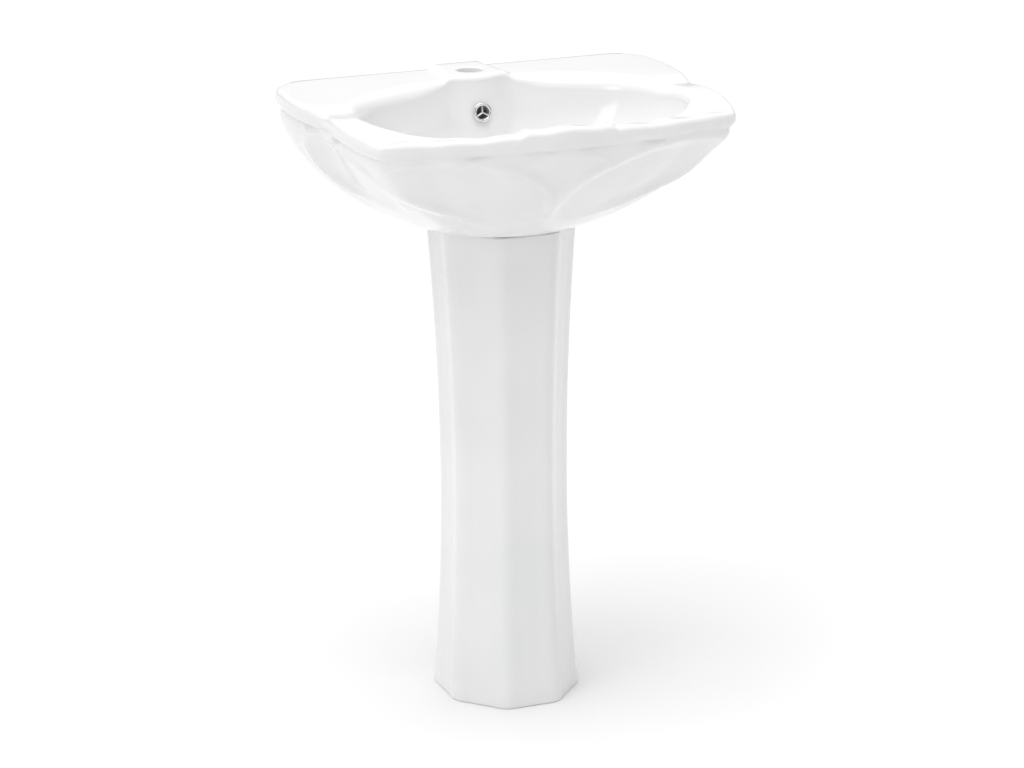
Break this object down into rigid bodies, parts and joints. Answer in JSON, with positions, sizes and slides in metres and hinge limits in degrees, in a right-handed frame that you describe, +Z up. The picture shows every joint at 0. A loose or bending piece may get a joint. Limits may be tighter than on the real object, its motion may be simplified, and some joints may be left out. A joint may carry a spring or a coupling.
{
  "type": "pedestal sink",
  "caption": "Scalloped ceramic basin with a tap deck and overflow on a fluted, open-backed pedestal, with press-plug waste, bottle trap and floor brackets.",
  "frame": {"origin": "on the floor, in the middle of the sink's width and depth", "axes": "+X to the right seen from the front, -Y to the front, +Y to the wall, +Z up"},
  "size_m": [0.541, 0.41, 0.83],
  "materials": {
    "glazed_ceramic": "glossy white vitreous glaze",
    "chrome": "polished chrome plate",
    "black_rubber": "matt black rubber",
    "grey_plastic": "moulded grey plastic",
    "white_plastic": "moulded white plastic",
    "zinc_steel": "zinc plated steel"
  },
  "bodies": {
    "sink": {"basin": "glazed_ceramic", "pedestal": "glazed_ceramic", "pedestal_cushion": "black_rubber", "overflow_ring": "chrome", "overflow_sleeve": "grey_plastic", "waste_body": "chrome", "bowl_seal": "black_rubber", "waste_lower_seal": "black_rubber", "waste_washer": "white_plastic", "waste_back_nut": "white_plastic", "click_cartridge": "grey_plastic", "trap_inlet_nut": "white_plastic", "trap_dip_tube": "white_plastic", "trap_inlet_seal": "black_rubber", "trap_body": "white_plastic", "trap_cup_seal": "black_rubber", "trap_cup": "white_plastic", "trap_outlet_nut": "white_plastic", "trap_outlet_seal": "black_rubber", "outlet_pipe": "white_plastic", "wall_flange": "chrome", "floor_bracket_left": "zinc_steel", "floor_screw_left": "zinc_steel", "pedestal_screw_left": "zinc_steel", "floor_bracket_right": "zinc_steel", "floor_screw_right": "zinc_steel", "pedestal_screw_right": "zinc_steel"},
    "plug": {"plug_seal": "black_rubber", "plug_cap": "chrome", "plug_stem": "chrome"}
  },
  "joints": [
    {"name": "plug_press", "type": "slide", "parent": "sink", "child": "plug", "axis": [0, 0, 1], "range_m": [-0.008, 0]}
  ]
}
